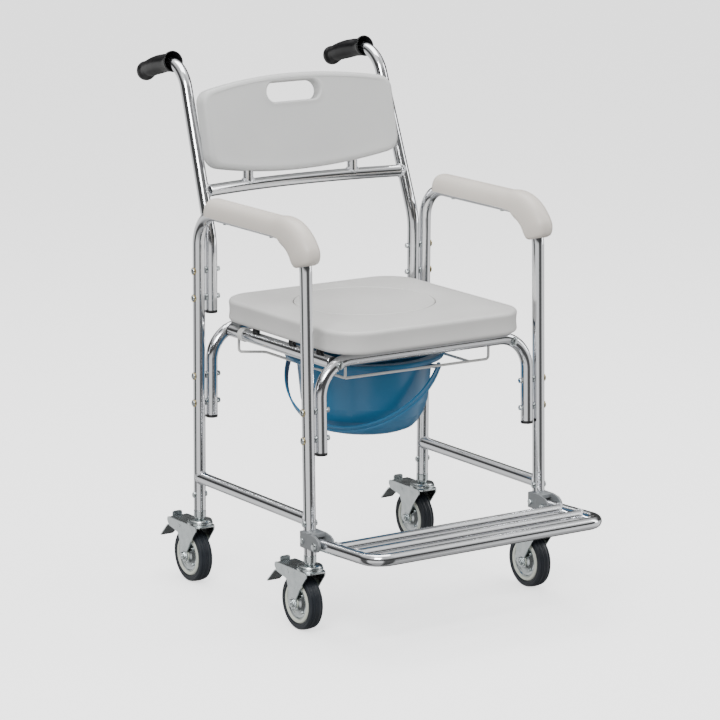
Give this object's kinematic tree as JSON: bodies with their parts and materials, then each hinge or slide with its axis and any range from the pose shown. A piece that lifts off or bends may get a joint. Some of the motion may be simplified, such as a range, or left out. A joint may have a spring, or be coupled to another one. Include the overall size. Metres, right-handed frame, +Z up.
{
  "type": "commode chair",
  "caption": "Wheeled commode chair with a tube frame, padded seat with a lift-out round lid, blue bucket in a wire hanger, moulded backrest with push handles, and a fold-up footrest.",
  "frame": {"origin": "floor level, under the middle of the chair's bounding box", "axes": "+Z up; +X to the right as seen from in front of the chair, so the sitter's left; the chair faces -Y and the push handles point to +Y"},
  "size_m": [0.546, 0.8413, 0.9639],
  "materials": {
    "aluminium_tube": "bright polished tube with long soft streaks",
    "zinc_steel": "bright zinc plate with a bluish sheen",
    "tyre_rubber": "matt slate-black rubber",
    "rim_cream": "cream moulded plastic",
    "pad_grey": "warm light grey soft moulded foam skin",
    "panel_grey": "light grey moulded plastic, fine grain",
    "seat_vinyl": "light grey soft moulded vinyl skin, fine grain",
    "bucket_blue": "blue moulded plastic, slight gloss",
    "grip_black": "glossy black rubber",
    "wire_white": "white coated wire",
    "bracket_grey": "grey cast metal, sandy surface"
  },
  "bodies": {
    "chair_frame": {"armrest_pad_left": "pad_grey", "armrest_pad_right": "pad_grey", "back_post_left": "aluminium_tube", "back_post_right": "aluminium_tube", "backrest_cross_tube": "aluminium_tube", "backrest_panel": "panel_grey", "bolt_front_lower_left": "zinc_steel", "bolt_front_lower_right": "zinc_steel", "bolt_front_upper_left": "zinc_steel", "bolt_front_upper_right": "zinc_steel", "bolt_post_lower_left": "zinc_steel", "bolt_post_lower_right": "zinc_steel", "bolt_post_upper_left": "zinc_steel", "bolt_post_upper_right": "zinc_steel", "bolt_rear_lower_left": "zinc_steel", "bolt_rear_lower_right": "zinc_steel", "bolt_rear_upper_left": "zinc_steel", "bolt_rear_upper_right": "zinc_steel", "bucket_hanger": "wire_white", "caster_stem_front_left": "zinc_steel", "caster_stem_front_right": "zinc_steel", "caster_stem_rear_left": "zinc_steel", "caster_stem_rear_right": "zinc_steel", "footrest_bracket_left": "bracket_grey", "footrest_bracket_right": "bracket_grey", "footrest_pivot_bolt_left": "zinc_steel", "footrest_pivot_bolt_right": "zinc_steel", "grip_left": "grip_black", "grip_right": "grip_black", "seat_cushion": "seat_vinyl", "seat_frame_front": "aluminium_tube", "seat_frame_rear": "aluminium_tube", "seat_rail_left": "aluminium_tube", "seat_rail_right": "aluminium_tube", "side_frame_left": "aluminium_tube", "side_frame_right": "aluminium_tube"},
    "seat_lid": {"seat_lid": "seat_vinyl"},
    "bucket": {"bucket": "bucket_blue"},
    "bucket_handle": {"bucket_handle": "bucket_blue"},
    "footrest": {"footrest_frame": "aluminium_tube"},
    "caster_front_left": {"caster_fork_front_left": "zinc_steel", "axle_bolt_front_left": "zinc_steel"},
    "wheel_front_left": {"wheel_core_front_left": "rim_cream", "tyre_front_left": "tyre_rubber"},
    "brake_front_left": {"brake_pedal_front_left": "zinc_steel"},
    "caster_front_right": {"caster_fork_front_right": "zinc_steel", "axle_bolt_front_right": "zinc_steel"},
    "wheel_front_right": {"wheel_core_front_right": "rim_cream", "tyre_front_right": "tyre_rubber"},
    "brake_front_right": {"brake_pedal_front_right": "zinc_steel"},
    "caster_rear_left": {"caster_fork_rear_left": "zinc_steel", "axle_bolt_rear_left": "zinc_steel"},
    "wheel_rear_left": {"wheel_core_rear_left": "rim_cream", "tyre_rear_left": "tyre_rubber"},
    "brake_rear_left": {"brake_pedal_rear_left": "zinc_steel"},
    "caster_rear_right": {"caster_fork_rear_right": "zinc_steel", "axle_bolt_rear_right": "zinc_steel"},
    "wheel_rear_right": {"wheel_core_rear_right": "rim_cream", "tyre_rear_right": "tyre_rubber"},
    "brake_rear_right": {"brake_pedal_rear_right": "zinc_steel"}
  },
  "joints": [
    {"name": "seat_lid_lift", "type": "slide", "parent": "chair_frame", "child": "seat_lid", "axis": [0, 0, 1], "range_m": [0, 0.06]},
    {"name": "bucket_slide", "type": "slide", "parent": "chair_frame", "child": "bucket", "axis": [0, 1, 0], "range_m": [0, 0.3]},
    {"name": "bucket_handle_swing", "type": "hinge", "parent": "bucket", "child": "bucket_handle", "pos_m": [0, -0.01, 0.422], "axis": [-0.5446, 0.8387, 0], "range_deg": [-45, 34]},
    {"name": "footrest_fold", "type": "hinge", "parent": "chair_frame", "child": "footrest", "pos_m": [0, -0.2483, 0.1645], "axis": [-1, 0, 0], "range_deg": [0, 90]},
    {"name": "caster_swivel_front_left", "type": "hinge", "parent": "chair_frame", "child": "caster_front_left", "pos_m": [-0.247, -0.21106, 0.115], "axis": [0, 0, 1], "continuous": true},
    {"name": "wheel_roll_front_left", "type": "hinge", "parent": "caster_front_left", "child": "wheel_front_left", "pos_m": [-0.247, -0.18606, 0.05], "axis": [1, 0, 0], "continuous": true},
    {"name": "brake_press_front_left", "type": "hinge", "parent": "caster_front_left", "child": "brake_front_left", "pos_m": [-0.247, -0.17106, 0.104], "axis": [-1, 0, 0], "range_deg": [0, 12]},
    {"name": "caster_swivel_front_right", "type": "hinge", "parent": "chair_frame", "child": "caster_front_right", "pos_m": [0.247, -0.21106, 0.115], "axis": [0, 0, 1], "continuous": true},
    {"name": "wheel_roll_front_right", "type": "hinge", "parent": "caster_front_right", "child": "wheel_front_right", "pos_m": [0.247, -0.18606, 0.05], "axis": [1, 0, 0], "continuous": true},
    {"name": "brake_press_front_right", "type": "hinge", "parent": "caster_front_right", "child": "brake_front_right", "pos_m": [0.247, -0.17106, 0.104], "axis": [-1, 0, 0], "range_deg": [0, 12]},
    {"name": "caster_swivel_rear_left", "type": "hinge", "parent": "chair_frame", "child": "caster_rear_left", "pos_m": [-0.247, 0.1612, 0.115], "axis": [0, 0, 1], "continuous": true},
    {"name": "wheel_roll_rear_left", "type": "hinge", "parent": "caster_rear_left", "child": "wheel_rear_left", "pos_m": [-0.247, 0.1862, 0.05], "axis": [1, 0, 0], "continuous": true},
    {"name": "brake_press_rear_left", "type": "hinge", "parent": "caster_rear_left", "child": "brake_rear_left", "pos_m": [-0.247, 0.2012, 0.104], "axis": [-1, 0, 0], "range_deg": [0, 12]},
    {"name": "caster_swivel_rear_right", "type": "hinge", "parent": "chair_frame", "child": "caster_rear_right", "pos_m": [0.247, 0.1612, 0.115], "axis": [0, 0, 1], "continuous": true},
    {"name": "wheel_roll_rear_right", "type": "hinge", "parent": "caster_rear_right", "child": "wheel_rear_right", "pos_m": [0.247, 0.1862, 0.05], "axis": [1, 0, 0], "continuous": true},
    {"name": "brake_press_rear_right", "type": "hinge", "parent": "caster_rear_right", "child": "brake_rear_right", "pos_m": [0.247, 0.2012, 0.104], "axis": [-1, 0, 0], "range_deg": [0, 12]}
  ]
}
